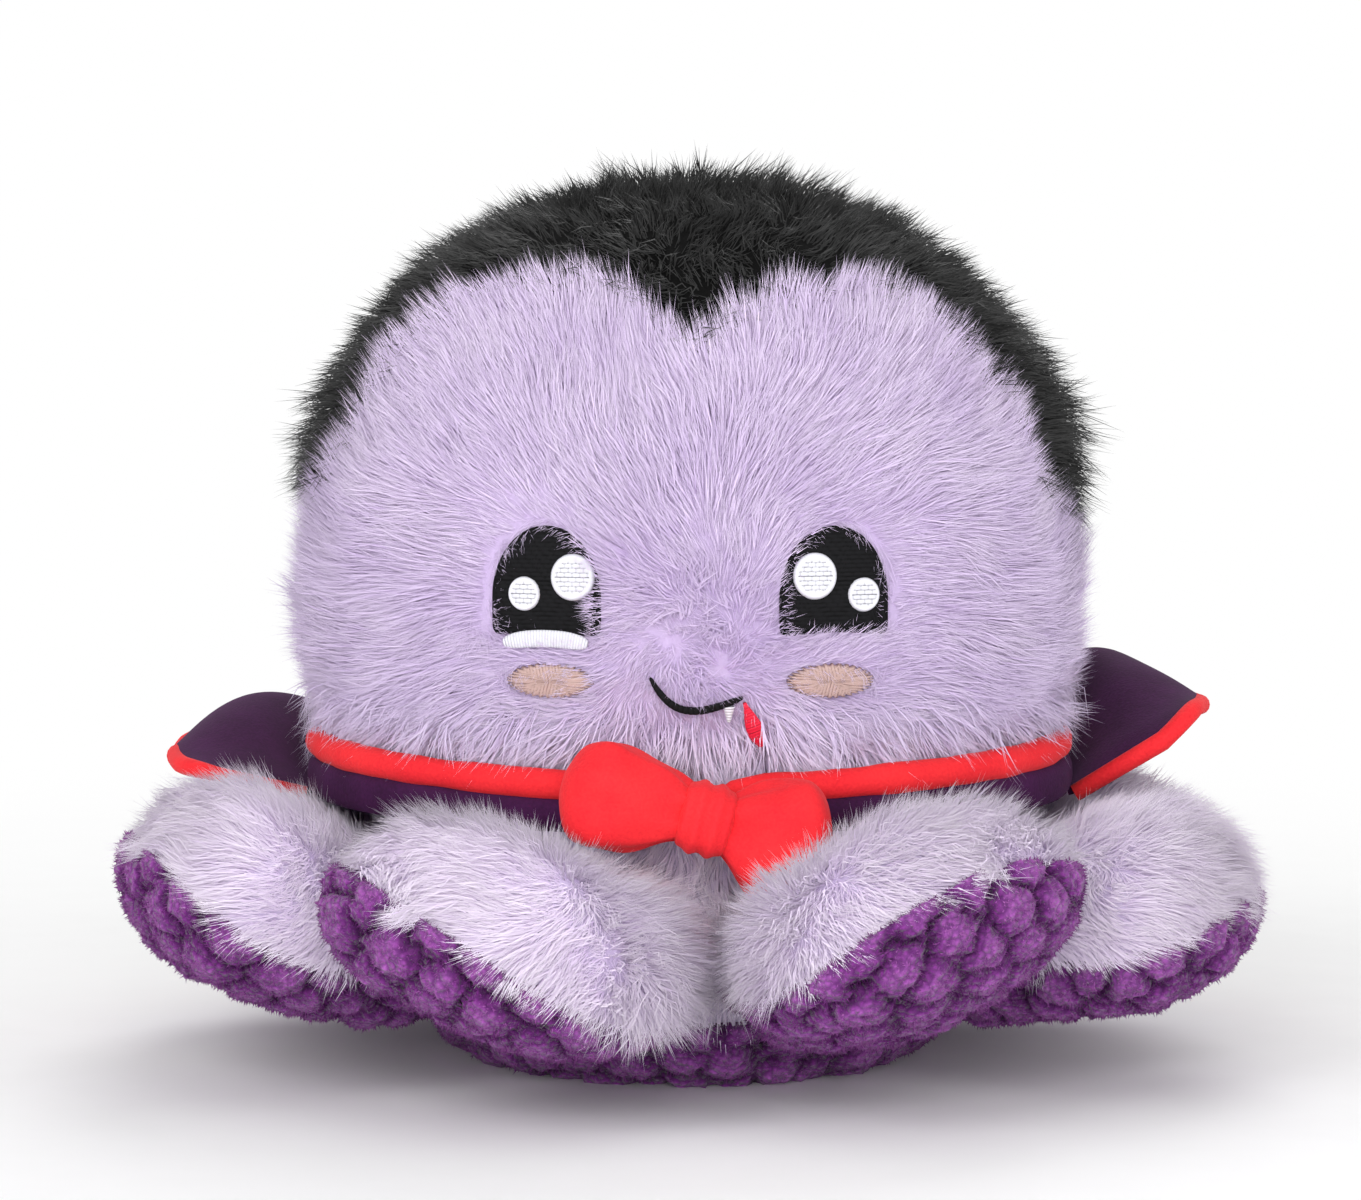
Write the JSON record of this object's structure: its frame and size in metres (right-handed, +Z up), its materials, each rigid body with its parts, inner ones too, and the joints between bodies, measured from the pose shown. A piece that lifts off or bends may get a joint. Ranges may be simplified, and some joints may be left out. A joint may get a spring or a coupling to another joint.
{
  "type": "dog toy",
  "caption": "Plush dog toy with a round furry head, eight stuffed arms with bobbled soles, a collar, a cape and a bow, and a squeaker inside.",
  "frame": {"origin": "centre of the base's flat face, on the surface the toy stands on", "axes": "+Z up through the crown of the head, -Y towards the face's front, +X to the right of someone who faces it"},
  "size_m": [0.2407, 0.2387, 0.191],
  "materials": {
    "lilac_fur": "long soft pile",
    "pale_fur": "long soft pile",
    "black_fur": "short clumped pile",
    "bobble_fabric": "chenille bobbles on a woven ground",
    "purple_velour": "short nap",
    "red_velour": "short nap",
    "fibre_fill": "loose fibre",
    "black_thread": "satin stitch",
    "white_thread": "satin stitch",
    "peach_thread": "satin stitch",
    "red_thread": "satin stitch",
    "squeaker_plastic": "smooth"
  },
  "bodies": {
    "torso": {"base_panel": "bobble_fabric", "body_cover": "pale_fur", "body_fill": "fibre_fill", "head_face_panel": "lilac_fur", "head_hair_cap": "black_fur", "head_fill": "fibre_fill", "squeaker_bulb": "squeaker_plastic", "squeaker_valve": "squeaker_plastic", "squeaker_reed": "squeaker_plastic", "collar_left": "purple_velour", "collar_right": "purple_velour", "collar_piping_left": "red_velour", "collar_piping_right": "red_velour", "cape_panel": "purple_velour", "cape_trim": "red_velour", "bow_left_lobe": "red_velour", "bow_right_lobe": "red_velour", "bow_knot": "red_velour", "eye_left": "black_thread", "eye_right": "black_thread", "eye_glint_left_large": "white_thread", "eye_glint_left_small": "white_thread", "eye_glint_right_large": "white_thread", "eye_glint_right_small": "white_thread", "eye_crescent_left": "white_thread", "eye_crescent_right": "white_thread", "cheek_left": "peach_thread", "cheek_right": "peach_thread", "mouth_line": "black_thread", "fang": "white_thread", "mouth_drop": "red_thread"},
    "arm_front_left": {"arm_front_left_top": "pale_fur", "arm_front_left_sole": "bobble_fabric", "arm_front_left_fill": "fibre_fill"},
    "arm_side_left": {"arm_side_left_top": "pale_fur", "arm_side_left_sole": "bobble_fabric", "arm_side_left_fill": "fibre_fill"},
    "arm_rear_left": {"arm_rear_left_top": "pale_fur", "arm_rear_left_sole": "bobble_fabric", "arm_rear_left_fill": "fibre_fill"},
    "arm_back_left": {"arm_back_left_top": "pale_fur", "arm_back_left_sole": "bobble_fabric", "arm_back_left_fill": "fibre_fill"},
    "arm_back_right": {"arm_back_right_top": "pale_fur", "arm_back_right_sole": "bobble_fabric", "arm_back_right_fill": "fibre_fill"},
    "arm_rear_right": {"arm_rear_right_top": "pale_fur", "arm_rear_right_sole": "bobble_fabric", "arm_rear_right_fill": "fibre_fill"},
    "arm_side_right": {"arm_side_right_top": "pale_fur", "arm_side_right_sole": "bobble_fabric", "arm_side_right_fill": "fibre_fill"},
    "arm_front_right": {"arm_front_right_top": "pale_fur", "arm_front_right_sole": "bobble_fabric", "arm_front_right_fill": "fibre_fill"}
  },
  "joints": [
    {"name": "arm_front_left_flop", "type": "hinge", "parent": "torso", "child": "arm_front_left", "pos_m": [-0.0237, -0.06512, 0.027], "axis": [-0.9397, 0.342, 0], "range_deg": [-30, 8], "stiffness_Nm_per_rad": 0.3},
    {"name": "arm_side_left_flop", "type": "hinge", "parent": "torso", "child": "arm_side_left", "pos_m": [-0.06281, -0.02929, 0.027], "axis": [-0.4226, 0.9063, 0], "range_deg": [-30, 8], "stiffness_Nm_per_rad": 0.3},
    {"name": "arm_rear_left_flop", "type": "hinge", "parent": "torso", "child": "arm_rear_left", "pos_m": [-0.06512, 0.0237, 0.027], "axis": [0.342, 0.9397, 0], "range_deg": [-30, 8], "stiffness_Nm_per_rad": 0.3},
    {"name": "arm_back_left_flop", "type": "hinge", "parent": "torso", "child": "arm_back_left", "pos_m": [-0.02929, 0.06281, 0.027], "axis": [0.9063, 0.4226, 0], "range_deg": [-30, 8], "stiffness_Nm_per_rad": 0.3},
    {"name": "arm_back_right_flop", "type": "hinge", "parent": "torso", "child": "arm_back_right", "pos_m": [0.0237, 0.06512, 0.027], "axis": [0.9397, -0.342, 0], "range_deg": [-30, 8], "stiffness_Nm_per_rad": 0.3},
    {"name": "arm_rear_right_flop", "type": "hinge", "parent": "torso", "child": "arm_rear_right", "pos_m": [0.06281, 0.02929, 0.027], "axis": [0.4226, -0.9063, 0], "range_deg": [-30, 8], "stiffness_Nm_per_rad": 0.3},
    {"name": "arm_side_right_flop", "type": "hinge", "parent": "torso", "child": "arm_side_right", "pos_m": [0.06512, -0.0237, 0.027], "axis": [-0.342, -0.9397, 0], "range_deg": [-30, 8], "stiffness_Nm_per_rad": 0.3},
    {"name": "arm_front_right_flop", "type": "hinge", "parent": "torso", "child": "arm_front_right", "pos_m": [0.02929, -0.06281, 0.027], "axis": [-0.9063, -0.4226, 0], "range_deg": [-30, 8], "stiffness_Nm_per_rad": 0.3}
  ]
}
